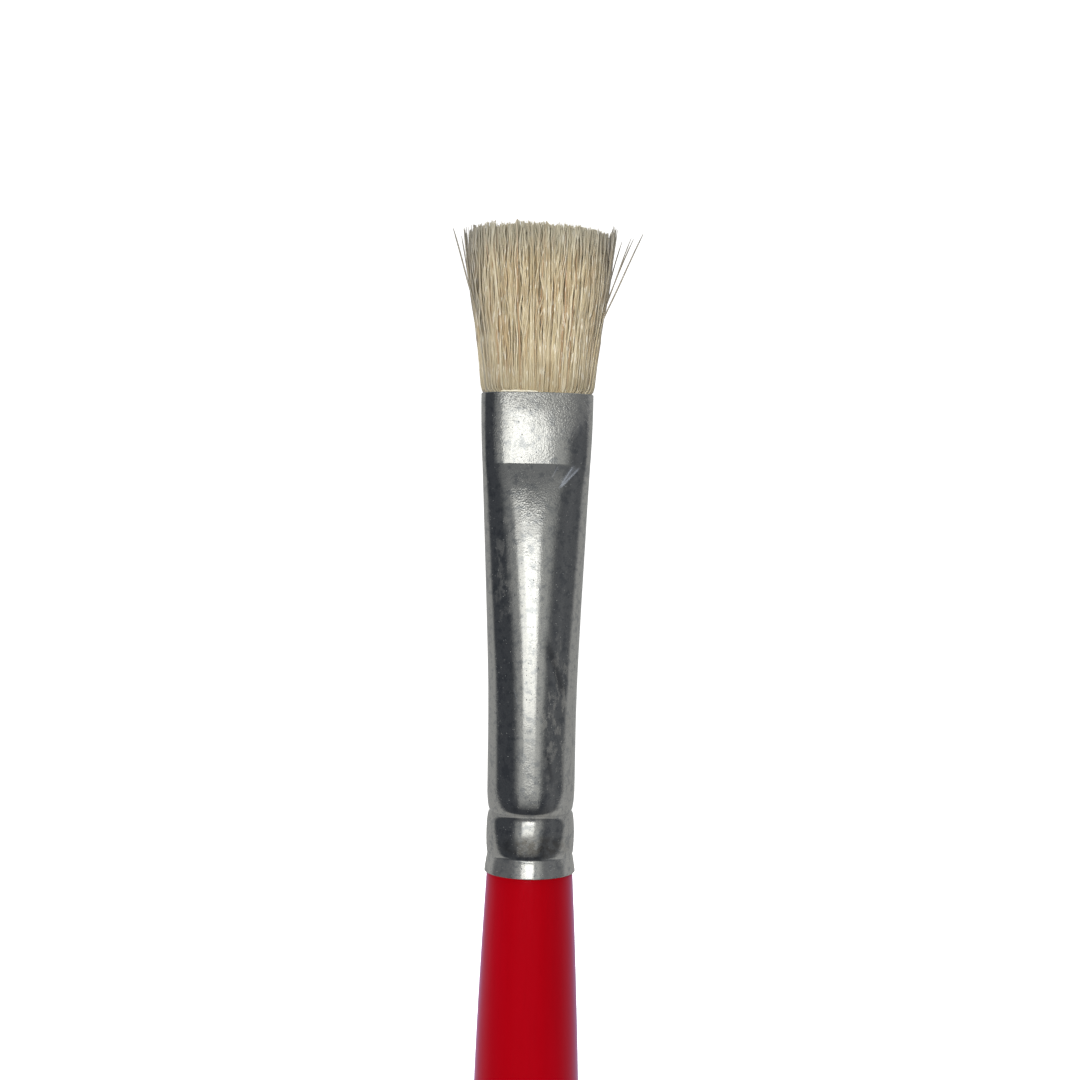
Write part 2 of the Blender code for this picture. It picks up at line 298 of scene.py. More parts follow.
# Rubbed marks and dark marks, the first dark one being painted shade along the dent: place across and
# below the mouth, direction, half width, half length, share, colour
SCUFF_PALE = (0.62, 0.68, 0.78)
DARK_MARK_AND_DENT_SHADE = (0.10, 0.10, 0.11)
SCUFFS_AND_DENT_SHADE = (
    (2.46 * MM, 7.44 * MM, (0.54, 0.84), 0.12 * MM, 1.3 * MM, 0.55, SCUFF_PALE),
    (2.80 * MM, 7.47 * MM, (0.69, 0.72), 0.16 * MM, 1.45 * MM, 0.7, SCUFF_PALE),
    (2.66 * MM, 7.25 * MM, (0.62, 0.78), 0.42 * MM, 1.2 * MM, 0.35, SCUFF_PALE),
    (1.44 * MM, 7.04 * MM, (0.45, 0.89), 0.08 * MM, 0.7 * MM, 0.35, SCUFF_PALE),
    (-1.7 * MM, 26.5 * MM, (0.25, -0.97), 0.06 * MM, 0.9 * MM, 0.3, SCUFF_PALE),
    # Painted shade along the dent, drawn as a dark mark.
    (1.78 * MM, 24.2 * MM, (0.32, -0.95), 0.5 * MM, 2.6 * MM, 0.5, DARK_MARK_AND_DENT_SHADE),
    (1.3 * MM, 32.6 * MM, (0.2, -0.98), 0.4 * MM, 1.6 * MM, 0.35, DARK_MARK_AND_DENT_SHADE),
)
# Share of a mark's half length at which it starts to fade
MARK_FADE = 0.6

# Places rubbed dull and rough: across and below the mouth, half width, half height, share
WORN_PLACES = (
    (2.6 * MM, 0.6 * MM, 2.6 * MM, 3.8 * MM, 1.4),
    (-0.6 * MM, -0.2 * MM, 3.8 * MM, 2.2 * MM, 1.2),
    (-0.4 * MM, 9.2 * MM, 2.6 * MM, 1.6 * MM, 0.2),
    (1.2 * MM, 10.5 * MM, 1.4 * MM, 2.6 * MM, 0.3),
    (-0.4 * MM, 3.4 * MM, 6.0 * MM, 4.4 * MM, 0.3),
)
# Brown darkening in the crimp, over the bead and just above its upper groove: the same columns
CRIMP_DARKENING = (
    (0.2 * MM, 39.6 * MM, 3.4 * MM, 1.2 * MM, 0.6),
    (0.0, 36.6 * MM, 3.0 * MM, 0.9 * MM, 0.25),
)
# Places smeared by fingers and old paint: the same columns
SMEARS = (
    (1.8 * MM, 28.0 * MM, 1.7 * MM, 7.5 * MM, 1.0),
    (-2.6 * MM, 15.0 * MM, 1.3 * MM, 6.5 * MM, 0.6),
)
# Ovals fade between these squares of the way from their middle to their rim
OVAL_FADE = (0.1, 1.2)

NICKEL_DEEP = (0.56, 0.565, 0.555)
NICKEL_CLEAN = (0.68, 0.68, 0.65)
NICKEL_DULL = (0.33, 0.35, 0.37)
NICKEL_WORN = (0.44, 0.44, 0.41)
PIT_COLOUR = (0.14, 0.14, 0.15)
DUST_COLOUR = (0.85, 0.87, 0.88)
CRIMP_DARK_COLOUR = (0.24, 0.21, 0.165)
SMEAR_COLOUR = (0.48, 0.47, 0.43)


def on_front(n, mark):
    """Keeps a mark on the ferrule's front half."""
    return n.times(mark, n.math("LESS_THAN", n.dot(n.coords, (0, 1, 0)), 0.0))


def straight_mark(n, x, below_mouth, towards, half_width, half_length):
    """1 along a straight mark, 0 away from it: a rubbed mark, a dark mark, and the painted shade along
    the dent.
    """
    run = Vector((towards[0], 0, towards[1])).normalized()
    across = Vector((run.z, 0, -run.x))
    middle = Vector((x, 0, MOUTH_Z - below_mouth))
    off = n.math("ABSOLUTE", n.minus(n.dot(n.coords, across), middle.dot(across)))
    along = n.math("ABSOLUTE", n.minus(n.dot(n.coords, run), middle.dot(run)))
    ends = n.range(along, half_length * MARK_FADE, half_length, 1, 0)
    return on_front(n, n.times(n.range(off, 0, half_width, 1, 0), ends))


def oval(n, x, below_mouth, half_width, half_height, share):
    """A soft oval mark: its share in its middle and 0 outside it."""
    across = n.math("DIVIDE", n.minus(n.dot(n.coords, (1, 0, 0)), x), half_width)
    height = n.minus(n.dot(n.coords, (0, 0, 1)), MOUTH_Z - below_mouth)
    up = n.math("DIVIDE", height, half_height)
    reach = n.plus(n.times(across, across), n.times(up, up))
    return n.times(on_front(n, n.range(reach, *OVAL_FADE, 1.0, 0.0)), share)


def nickel_material():
    """Worn nickel plate: patches of tarnish, a pebbled skin where worn, drawing lines, pits and dust,
    and painted shade along the dent.
    """
    material, n = new_material("nickel_plate_worn")
    cloud = n.noise(300, 5, 0.6)
    patch = n.noise(1500, 4, 0.65)
    worn = n.range(n.noise(480, 4, 0.6), 0.40, 0.66, 0.04, 0.32)
    for place in WORN_PLACES:
        worn = n.plus(worn, oval(n, *place))
    specks = n.range(n.cells(3300), 0.07, 0.15, 1.0, 0.0)
    specks = n.times(specks, n.range(n.noise(1900, 1), 0.50, 0.56))
    pits = n.range(n.cells(2600, n.scaled(1.1, 0.9, 1.0)), 0.06, 0.16, 1.0, 0.0)
    pits = n.times(pits, n.range(n.noise(1300, 2), 0.50, 0.60))
    lines = n.noise(1.0, 4, 0.6, n.scaled(9000, 9000, 300))
    grain = n.range(n.noise(7000, 3, 0.75), 0.32, 0.68)
    clean = n.mix(grain, NICKEL_DEEP, NICKEL_CLEAN)
    dull = n.mix(n.range(patch, 0.48, 0.64, 0.0, 0.6), clean, NICKEL_DULL)
    colour = n.mix(n.times(pits, 0.4), dull, PIT_COLOUR)
    colour = n.mix(n.times(specks, 0.7), colour, DUST_COLOUR)
    colour = n.mix(n.range(worn, 0.9, 2.2, 0.0, 0.5), colour, NICKEL_WORN)
    crimp_dark_noise = n.range(n.noise(2100, 3, 0.6), 0.40, 0.62, 0.35, 1.0)
    for place in CRIMP_DARKENING:
        colour = n.mix(n.times(oval(n, *place), crimp_dark_noise), colour, CRIMP_DARK_COLOUR)
    rough = n.plus(n.range(cloud, 0.35, 0.7, 0.11, 0.15), n.times(worn, 0.06))
    lip_top, fade = COLLAR_Z + LOWER_GROOVE[0], 0.1 * MM
    rubbed_lip = n.range(n.dot(n.coords, (0, 0, 1)), lip_top - fade, lip_top + fade, 0.12, 0.0)
    metal = n.minus(1.0, n.plus(rubbed_lip, n.range(worn, 0.5, 2.0, 0.0, 0.2)))
    smeared = n.range(n.noise(1.0, 4, 0.65, n.scaled(1500, 1500, 800)), 0.50, 0.62)
    for place in SMEARS:
        smear = n.times(oval(n, *place), smeared)
        colour = n.mix(n.times(smear, 0.5), colour, SMEAR_COLOUR)
        rough = n.plus(rough, n.times(smear, 0.16))
        metal = n.minus(metal, n.times(smear, 0.16))
    for *place, share, mark_colour in SCUFFS_AND_DENT_SHADE:
        mark = n.times(straight_mark(n, *place), share)
        colour = n.mix(mark, colour, mark_colour)
        if mark_colour == SCUFF_PALE:
            rough = n.plus(rough, n.times(mark, 0.25))
            metal = n.minus(metal, n.times(mark, 0.35))
    pebbles = n.plus(n.cells(6200), n.times(n.noise(9000, 2, 0.7), 0.8))
    normal = n.bump(n.times(pebbles, worn), 0.0105 * MM)
    normal = n.bump(lines, 0.0015 * MM, normal)
    normal = n.bump(n.minus(specks, pits), 0.012 * MM, normal)
    n.set(Base_Color=colour, Metallic=metal, Roughness=rough, Normal=normal)
    return material


def lacquer_material():
    """Deep red gloss lacquer over turned wood, with the slight ripple of a dipped coat."""
    material, n = new_material("red_lacquer_gloss")
    depth = n.noise(120, 3, 0.5, n.scaled(1, 1, 0.25))
    grain = n.noise(1.0, 5, 0.6, n.scaled(2600, 2600, 90))
    colour = n.mix(n.range(depth, 0.3, 0.7), (0.41, 0.0, 0.004), (0.46, 0.0, 0.006))
    colour = n.mix(n.range(grain, 0.45, 0.75, 0.0, 0.35), colour, (0.36, 0.0, 0.003))
    ripple = n.noise(700, 2, 0.4)
    dust = n.range(n.cells(900), 0.03, 0.09, 1.0, 0.0)
    dust = n.times(dust, n.range(n.noise(260, 1), 0.6, 0.66))
    normal = n.bump(n.plus(ripple, dust), 0.004 * MM)
    rough = n.range(n.noise(500, 3), 0.3, 0.7, 0.16, 0.22)
    n.set(Base_Color=colour, Roughness=rough, Normal=normal, IOR=1.5)
    n.set(Specular_IOR_Level=0.08, Specular_Tint=(0.80, 0.62, 1.0))
    n.set(Sheen_Weight=0.65, Sheen_Roughness=0.35, Sheen_Tint=(0.62, 0.5, 1.0))
    return material


def bristle_material():
    """Bleached hog bristle, with painted glints, and painted shade towards the mouth and at the edges.
    The strand attribute holds tint, share of the way up, and greyness.
    """
    material, n = new_material("hog_bristle_strands")
    tint, along, grey = n.attribute("strand")[:3]
    streak_and_glint = n.noise(1.0, 3, 0.6, n.scaled(5200, 5200, 950))
    warm = n.noise(1.0, 3, 0.5, n.scaled(1500, 1500, 330))
    cream = n.mix(n.range(tint, 0.0, 0.6), (0.60, 0.485, 0.275), (0.74, 0.63, 0.41))
    cream = n.mix(n.range(tint, 0.75, 1.0), cream, (0.88, 0.78, 0.54))
    cream = n.mix(n.range(tint, 0.09, 0.04), cream, (0.56, 0.37, 0.20))
    colour = n.mix(n.range(warm, 0.50, 0.66, 0.0, 0.6), cream, (0.62, 0.44, 0.22))
    colour = n.mix(n.range(streak_and_glint, 0.44, 0.30, 0.0, 0.4), colour, (0.46, 0.39, 0.25))
    # Painted highlight: pale glints along the strands.
    colour = n.mix(n.range(streak_and_glint, 0.56, 0.64, 0.0, 0.9), colour, (1.0, 0.94, 0.78))
    colour = n.mix(n.range(along, 0.72, 1.0, 0.0, 0.65), colour, (0.50, 0.49, 0.40))
    # Painted shade: darker towards the mouth, where the bristles crowd into the ferrule.
    colour = n.mix(n.range(along, 0.3, 0.0, 0.0, 0.5), colour, (0.46, 0.40, 0.26))
    # Painted shade: the greyness darkens the bundle's sides and the locks.
    colour = n.mix(grey, colour, (0.16, 0.155, 0.16))
    normal = n.bump(n.noise(1.0, 2, 0.5, n.scaled(3000, 3000, 900)), 0.06 * MM)
    n.set(Base_Color=colour, Roughness=0.42, IOR=1.6, Normal=normal)
    n.set(Coat_Weight=0.8, Coat_IOR=1.8, Coat_Roughness=0.2)
    return material


def resin_material():
    """Cured amber resin with a few bubbles, round the bristles' roots."""
    material, n = new_material("cured_resin_amber")
    cloud = n.noise(600, 4)
    bubbles = n.range(n.cells(1800), 0.05, 0.2, 1.0, 0.0)
    colour = n.mix(n.range(cloud, 0.3, 0.7), (0.36, 0.21, 0.06), (0.52, 0.34, 0.12))
    n.set(Base_Color=colour, Roughness=n.range(cloud, 0.3, 0.7, 0.12, 0.24))
    n.set(Normal=n.bump(bubbles, 0.02 * MM), Coat_Weight=0.4)
    return material


def glue_material():
    """Dried wood glue, smeared along the tenon."""
    material, n = new_material("wood_glue_film")
    smear = n.noise(1.0, 4, 0.6, n.scaled(900, 900, 200))
    colour = n.mix(n.range(smear, 0.3, 0.7), (0.62, 0.47, 0.24), (0.78, 0.67, 0.42))
    n.set(Base_Color=colour, Roughness=n.range(smear, 0.3, 0.7, 0.3, 0.55))
    n.set(Normal=n.bump(smear, 0.02 * MM))
    return material


def thread_material():
    """Pale cotton thread with its ply."""
    material, n = new_material("cotton_thread_ply")
    ply = n.noise(1.0, 3, 0.6, n.scaled(5000, 5000, 14000))
    colour = n.mix(n.range(ply, 0.3, 0.7), (0.55, 0.51, 0.43), (0.80, 0.77, 0.70))
    n.set(Base_Color=colour, Roughness=0.85, Normal=n.bump(ply, 0.02 * MM))
    return material


def rim_highlight_material():
    """Pale cream, slightly clouded: the colour of the painted highlight along the mouth's rim."""
    material, n = new_material("rim_highlight_pale")
    cloud = n.noise(2500, 3)
    colour = n.mix(n.range(cloud, 0.3, 0.7), (0.95, 0.90, 0.74), (0.86, 0.78, 0.58))
    n.set(Base_Color=colour, Roughness=n.range(cloud, 0.3, 0.7, 0.2, 0.4))
    n.set(Normal=n.bump(cloud, 0.01 * MM), Coat_Weight=0.5)
    return material


def paper_material():
    """Matt paper that is nearly white by itself, for the studio."""
    material, n = new_material("studio_paper")
    paper = n.mix(n.range(n.noise(30, 4), 0.3, 0.7), (0.86, 0.86, 0.86), (0.88, 0.88, 0.88))
    n.set(Base_Color=paper, Roughness=0.9, Emission_Color=(1.0, 1.0, 1.0), Emission_Strength=0.95)
    n.set(Specular_IOR_Level=0.0)
    return material


# --- ferrule and handle ---


def pressed_share(below_mouth):
    """How far the tube is pressed flat: 1 at the pad's foot, fading softly to 0 on the round tube."""
    share = (PRESSED_LENGTH - below_mouth) / (PRESSED_LENGTH - PAD_LENGTH)
    return math.log1p(math.exp(PRESSED_FADE * share)) / PRESSED_FADE


def pressed_section(below_mouth):
    """Half width, half depth and squareness of the ferrule's outside this far below its mouth."""
    if below_mouth <= PAD_LENGTH:
        flare = 1 - (below_mouth / PAD_LENGTH) ** 2
        half_width = PAD_HALF_WIDTH + (MOUTH_HALF_WIDTH - PAD_HALF_WIDTH) * flare
        return half_width, PAD_HALF_DEPTH, PAD_SQUARENESS
    pressed = pressed_share(below_mouth)
    half_width = TUBE_RADIUS + (PAD_HALF_WIDTH - TUBE_RADIUS) * pressed
    step = math.exp(-(below_mouth - PAD_LENGTH) / PAD_STEP_REACH)
    half_depth = PAD_HALF_DEPTH + PAD_STEP_RISE * (1 - step)
    half_depth += (TUBE_RADIUS - PAD_HALF_DEPTH - PAD_STEP_RISE) * (1 - pressed)
    squareness = SLOPE_SQUARENESS + (PAD_SQUARENESS - SLOPE_SQUARENESS) * step
    return half_width, half_depth, ROUND + (squareness - ROUND) * pressed


def crimp_radius(above_edge):
    """Radius of the crimp this far over the ferrule's lower edge: round crests and sharp grooves."""
    stretches = (
        (LOWER_GROOVE, LIP),
        (LOWER_GROOVE, BEAD),
        (UPPER_GROOVE, BEAD),
        (UPPER_GROOVE, CRIMP_TOP),
    )
    for groove, crest in stretches:
        low, high = sorted((groove[0], crest[0]))
        if low <= above_edge <= high:
            share = (above_edge - groove[0]) / (crest[0] - groove[0])
            round_share = math.sin(math.acos(1 - share))
            if crest is LIP:
                round_share += (share - round_share) * LIP_STRAIGHTNESS
            elif groove is UPPER_GROOVE and crest is BEAD:
                wall = 1 - math.exp(-(groove[0] - above_edge) / GROOVE_WALL)
                round_share = WALL_SHARE * wall + (1 - WALL_SHARE) * (1 - (1 - share) ** 2)
            return groove[1] + (crest[1] - groove[1]) * round_share
    return TUBE_RADIUS


def ferrule_section(z):
    """Half width, half depth and squareness of the ferrule's outside at a height."""
    above_edge = z - COLLAR_Z
    if above_edge < CRIMP_TOP[0]:
        radius = crimp_radius(max(above_edge, 0.0))
        return radius, radius, ROUND
    return pressed_section(MOUTH_Z - z)


def dents(x, y, z):
    """How far hand use has moved the sheet at a point, outwards where it is positive."""
    in_mm = Vector((x, y, z)) / MM
    moved = WIDE_RIPPLE * noise.noise(in_mm * 0.33) + FINE_RIPPLE * noise.noise(in_mm * 1.3)
    if y > 0:
        return moved
    off_x, off_z = x - DENT_ACROSS, z - (MOUTH_Z - DENT_BELOW_MOUTH)
    across = (off_x * DENT_RUN[1] - off_z * DENT_RUN[0]) / DENT_HALF_WIDTH
    along = (off_x * DENT_RUN[0] + off_z * DENT_RUN[1]) / DENT_HALF_LENGTH
    return moved - DENT_DEPTH * math.exp(-(across**2) - along**2)


def ferrule_heights():
    """Heights of the ferrule's rings: close together at the crimp, the pad's step and both edges."""
    crimp_end = CRIMP_TOP[0] + 0.4 * MM
    round_end = FERRULE_LENGTH - PRESSED_LENGTH
    pad_foot = FERRULE_LENGTH - PAD_LENGTH
    step_start, step_end = pad_foot - 2.0 * MM, pad_foot + 0.6 * MM
    stretches = (
        (0.0, EDGE_ZONE, 3),
        (EDGE_ZONE, crimp_end, 84),
        (crimp_end, round_end, 30),
        (round_end, step_start, 70),
        (step_start, step_end, 44),
        (step_end, FERRULE_LENGTH - EDGE_ZONE, 40),
        (FERRULE_LENGTH - EDGE_ZONE, FERRULE_LENGTH, 3),
    )
    heights = []
    for low, high, steps in stretches:
        heights += [COLLAR_Z + low + (high - low) * k / steps for k in range(steps)]
    return heights + [MOUTH_Z]


def oval_ring(z, half_width, half_depth, squareness, sides):
    """Points of a level superellipse round the brush's axis."""
    ring = []
    for i in range(sides):
        angle = 2 * math.pi * i / sides
        c, s = math.cos(angle), math.sin(angle)
        x = half_width * math.copysign(abs(c) ** (2 / squareness), c)
        y = half_depth * math.copysign(abs(s) ** (2 / squareness), s)
        ring.append((x, y, z))
    return ring


def make_ferrule():
    """The drawn and pressed tube as one sheet: outside up, over the mouth's edge, inside down."""
    vertices = []
    heights = ferrule_heights()
    for z in heights:
        half_width, half_depth, squareness = ferrule_section(z)
        share = min(min(z - COLLAR_Z, MOUTH_Z - z) / EDGE_ROUND, 1.0)
        inset = EDGE_ROUND * (1 - math.sqrt(1 - (1 - share) ** 2))
        for x, y, _ in oval_ring(z, half_width - inset, half_depth - inset, squareness, FERRULE_SIDES):
            push = dents(x, y, z) / math.hypot(x, y)
            vertices.append((x + x * push, y + y * push, z))
    rim, throat = MOUTH_Z - 0.02 * MM, MOUTH_Z - 0.1 * MM
    inner = [rim, throat] + heights[:-4:6][::-1]
    for z in inner:
        half_width, half_depth, squareness = ferrule_section(z)
        inset = SHEET - (EDGE_ROUND if z == rim else 0.0)
        vertices += oval_ring(z, half_width - inset, half_depth - inset, squareness, FERRULE_SIDES)
    faces = ring_faces(len(heights) + len(inner), FERRULE_SIDES, True)
    ferrule = add_mesh("ferrule_shell", vertices, faces, 50)
    ferrule.data.materials.append(nickel_material())
    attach(ferrule, "held")
    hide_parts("ferrule")


def handle_profile():
    """Height and radius of the handle from the middle of its butt to the end of its tenon."""
    profile = [(BUTT_Z, 0.4 * MM), (BUTT_Z, BUTT_FLAT_RADIUS)]
    round_height, round_radius = HANDLE_OUTLINE[1]
    for k in range(1, 7):
        a = k / 6 * math.pi / 2
        radius = BUTT_FLAT_RADIUS + (round_radius - BUTT_FLAT_RADIUS) * math.sin(a)
        profile.append((BUTT_Z + round_height * (1 - math.cos(a)), radius))
    shoulder_height, shoulder_radius = HANDLE_OUTLINE[-1]
    steps = 180
    for k in range(1, steps + 1):
        h = round_height + (shoulder_height - round_height) * k / steps
        profile.append((BUTT_Z + h, smooth_value(HANDLE_OUTLINE, h)))
    for k in range(1, 6):
        a = k / 5 * math.pi / 2
        z = COLLAR_Z - SHOULDER_ROUND * (1 - math.sin(a))
        profile.append((z, NECK_RADIUS + (shoulder_radius - NECK_RADIUS) * math.cos(a)))
    profile.append((COLLAR_Z + 0.35 * MM, NECK_RADIUS))
    tenon_low, tenon_high = 0.6 * MM, TENON_TOP_Z - COLLAR_Z - TENON_CHAMFER
    steps = 38
    for k in range(steps + 1):
        h = tenon_low + (tenon_high - tenon_low) * k / steps
        profile.append((COLLAR_Z + h, crimp_radius(h) - TENON_INSET))
    profile.append((TENON_TOP_Z, TUBE_RADIUS - TENON_INSET - TENON_CHAMFER))
    return profile


def make_handle():
    """The turned handle with its tenon, very slightly out of round."""
    profile = handle_profile()
    vertices = []
    for z, radius in profile:
        for x, y, _ in oval_ring(z, radius, radius, ROUND, HANDLE_SIDES):
            wander = 1 + TURNING_WANDER * noise.noise(Vector((x, y, z * 0.35)) / (4 * MM))
            vertices.append((x * wander, y * wander, z))
    handle = add_mesh("handle_turned", vertices, capped_faces(len(profile), HANDLE_SIDES), 40)
    handle.data.materials.append(lacquer_material())
    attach(handle, "held")
    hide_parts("handle")


# --- bristles ---

# Height over the mouth, and half width or half depth of the bundle there
BUNDLE_WIDTH = in_mm(
    (-12.5, 3.95),
    (-9.9, 3.55),
    (-7.4, 3.70),
    (-5.5, 4.35),
    (0.0, 4.60),
    (0.3, 4.90),
    (0.8, 5.02),
    (2.1, 5.15),
    (5.0, 5.47),
    (7.8, 5.86),
    (10.0, 6.06),
    (15.2, 6.18),
)
BUNDLE_DEPTH = in_mm(
    (-12.5, 1.80),
    (-9.9, 1.45),
    (-7.4, 1.40),
    (-5.5, 1.80),
    (0.0, 1.90),
    (0.8, 2.12),
    (5.0, 2.50),
    (10.0, 2.95),
    (15.2, 3.10),
)
# Half width and half depth of the bundle in the mouth, and where its tips are cut
BUNDLE_MOUTH = (smooth_value(BUNDLE_WIDTH, 0.0), smooth_value(BUNDLE_DEPTH, 0.0))
BUNDLE_TIP = (6.15 * MM, 3.1 * MM)
ROOT_HEIGHTS = (-12.3 * MM, -9.9 * MM, -7.4 * MM, -4.5 * MM, -0.6 * MM, 0.0, 0.3 * MM)
FIRST_STEP = 0.7 * MM
STRAND_RADIUS = 0.079 * MM
STRAND_SPACING = 0.143 * MM
ROW_SPACING = STRAND_SPACING * 0.866
GRID_JITTER = 0.2
TIP_SQUARENESS = 2.8

# The cut of the tips: a low dome over the mouth, its crown a little left of the middle
CUT_HEIGHT = TUFT_LENGTH - 0.05 * MM
CUT_CROWN_X = -0.6 * MM
CUT_HALF_WIDTH = 6.3 * MM
CUT_SAG_ACROSS = 0.55 * MM
CUT_SAG_THROUGH = 0.2 * MM

# Clumps: how many, how far a tip is pulled to its clump's middle, the share of that pull across
# the width, and how much clumps differ in height in mm
CLUMPS = 110
CLUMP_PULL = 0.32
CLUMP_PULL_ACROSS = 0.22
CLUMP_HEIGHT_SPREAD = 0.11
# How far tips fall short of the cut (gamma shape and scale) and splay, in mm, and how many are loose
TIP_SHORTFALL = (1.3, 0.11)
SPLAY = 0.17
LOOSE_SHARE = 0.12
LOOSE_SPLAY = 0.38
# Waves along a bristle, in mm: usual swing, shortest and longest wave
LONG_WAVE = (0.145, 5, 14)
SHORT_WAVE = (0.05, 2.6, 5)
# Thickness: how much it differs, how much it tapers, and the share and size of the thick bristles
RADIUS_SPREAD = 0.17
TAPER = 0.2
THICK_SHARE = 0.09
THICK_RADIUS = 1.35
# Greyness that paints shade on the bundle's sides, and the shares of the half width where it starts and
# where it is full
SIDE_SHADE_GREY = (0.20, 0.4, 0.8)
OUTER_SHADE_GREY = (0.45, 0.8, 1.0)


def bundle_grid():
    """Places of the bristles in the mouth, on a loose triangular grid, as shares of BUNDLE_MOUTH."""
    half_width, half_depth = BUNDLE_MOUTH
    rows = int(2 * half_depth / ROW_SPACING) + 2
    columns = int(2 * half_width / STRAND_SPACING) + 2
    places = []
    for r in range(rows):
        for c in range(columns):
            x = (c - columns / 2 + 0.5 * (r % 2)) * STRAND_SPACING
            y = (r - rows / 2 + 0.5) * ROW_SPACING
            x += RNG.normal(0, GRID_JITTER) * STRAND_SPACING
            y += RNG.normal(0, GRID_JITTER) * STRAND_SPACING
            u, v = x / half_width, y / half_depth
            if abs(u) ** PAD_SQUARENESS + abs(v) ** PAD_SQUARENESS <= 1.0:
                places.append((u, v))
    return np.array(places)


def squarer(places, squareness):
    """Moves places out from a disc of the mouth's squareness to one of another squareness."""
    angle = np.arctan2(places[:, 1], places[:, 0])
    c, s = np.abs(np.cos(angle)), np.abs(np.sin(angle))

    def reach(n):
        return (c**n + s**n) ** (-1 / n)

    return places * (reach(squareness) / reach(PAD_SQUARENESS))[:, None]


def tip_height(x, y):
    """Height of the trimmed tips over the mouth: a low dome, a little lower towards its edges."""
    across = np.abs((x - CUT_CROWN_X) / CUT_HALF_WIDTH)
    return CUT_HEIGHT - CUT_SAG_ACROSS * across**2.6 - CUT_SAG_THROUGH * (y / BUNDLE_TIP[1]) ** 2


def interp(table, heights):
    """smooth_value for a whole array of heights."""
    return np.array([smooth_value(table, h) for h in np.ravel(heights)]).reshape(np.shape(heights))


def strand_unwrap(mesh, count, steps, sides):
    """Gives each strand its own upright cell of the map, with room round it."""
    cell_aspect = 2.5
    columns = math.ceil(math.sqrt(count * cell_aspect))
    rows = math.ceil(count / columns)
    margin = 0.1
    fill = 1 - 2 * margin
    uv = np.zeros((len(mesh.loops), 2))
    side = np.arange(sides)
    at = 0
    for i in range(count):
        left, low = (i % columns + margin) / columns, (i // columns + margin) / rows
        u = left + fill / columns * np.stack([side, side + 1, side + 1, side], axis=1) / sides
        v = low + fill / rows * (np.arange(steps - 1)[:, None] + np.array([0, 0, 1, 1])) / (steps - 1)
        quads = sides * (steps - 1) * 4
        uv[at : at + quads, 0] = np.tile(u, (steps - 1, 1)).ravel()
        uv[at : at + quads, 1] = np.repeat(v, sides, axis=0).ravel()
        at += quads
        uv[at : at + sides] = (left, low)
        uv[at + sides : at + 2 * sides] = (left, low + fill / rows)
        at += 2 * sides
    mesh.uv_layers.new(name="OFBake").data.foreach_set("uv", uv.astype(np.float32).ravel())


def strand_mesh(name, paths, radii, colours, sides):
    """Round tapering strands. Paths is strands by points by three, radii strands by points."""
    count, steps, _ = paths.shape
    tangent = np.gradient(paths, axis=1)
    tangent /= np.linalg.norm(tangent, axis=2)[:, :, None]
    side = np.cross(np.array([0.0, 1.0, 0.0]), tangent)
    side /= np.linalg.norm(side, axis=2)[:, :, None]
    front = np.cross(tangent, side)
    angle = 2 * math.pi * np.arange(sides) / sides
    ring = side[:, :, None, :] * np.cos(angle)[None, None, :, None]
    ring = ring + front[:, :, None, :] * np.sin(angle)[None, None, :, None]
    points = paths[:, :, None, :] + ring * radii[:, :, None, None]
    faces = []
    per_strand = capped_faces(steps, sides)
    for i in range(count):
        first = i * steps * sides
        faces += [tuple(first + v for v in face) for face in per_strand]
    obj = add_mesh(name, points.reshape(-1, 3), faces, 60)
    attribute = obj.data.attributes.new("strand", "FLOAT_COLOR", "POINT")
    flat = np.repeat(colours[:, :, None, :], sides, axis=2).reshape(-1, 3)
    flat = np.concatenate([flat, np.ones((len(flat), 1))], axis=1)
    attribute.data.foreach_set("color", flat.astype(np.float32).ravel())
    strand_unwrap(obj.data, count, steps, sides)
    return obj


def strand_heights(tips, steps):
    """Heights over the mouth along each strand: its root's, then even steps up to its tip."""
    share = np.arange(steps) / (steps - 1)
    above = FIRST_STEP + (tips[:, None] - FIRST_STEP) * share[None, :]
    roots = np.repeat(np.array(ROOT_HEIGHTS)[None, :], len(tips), axis=0)
    return np.concatenate([roots, above], axis=1)


def lean(heights):
    """How free a bristle is to wander: not at all in the mouth, fully at the tips."""
    return np.clip(heights / TUFT_LENGTH, 0.0, 1.1)


def waves(count, heights, size, shortest, longest):
    """A wave along each strand with its own length, swing and start."""
    wave = RNG.uniform(shortest, longest, count) * MM
    phase = RNG.uniform(0, 2 * math.pi, count)
    swing = np.abs(RNG.normal(0, size, count)) * MM
    return swing[:, None] * np.sin(2 * math.pi * heights / wave[:, None] + phase[:, None])


def nearest_clumps(places, count):
    """The clumps' places, and the clump that each bristle's tip belongs to."""
    clumps = RNG.uniform(-0.97, 0.97, (count, 2))
    across = places[:, None, 0] - clumps[None, :, 0]
    through = (places[:, None, 1] - clumps[None, :, 1]) * 0.5
    return clumps, np.argmin(across**2 + through**2, axis=1)


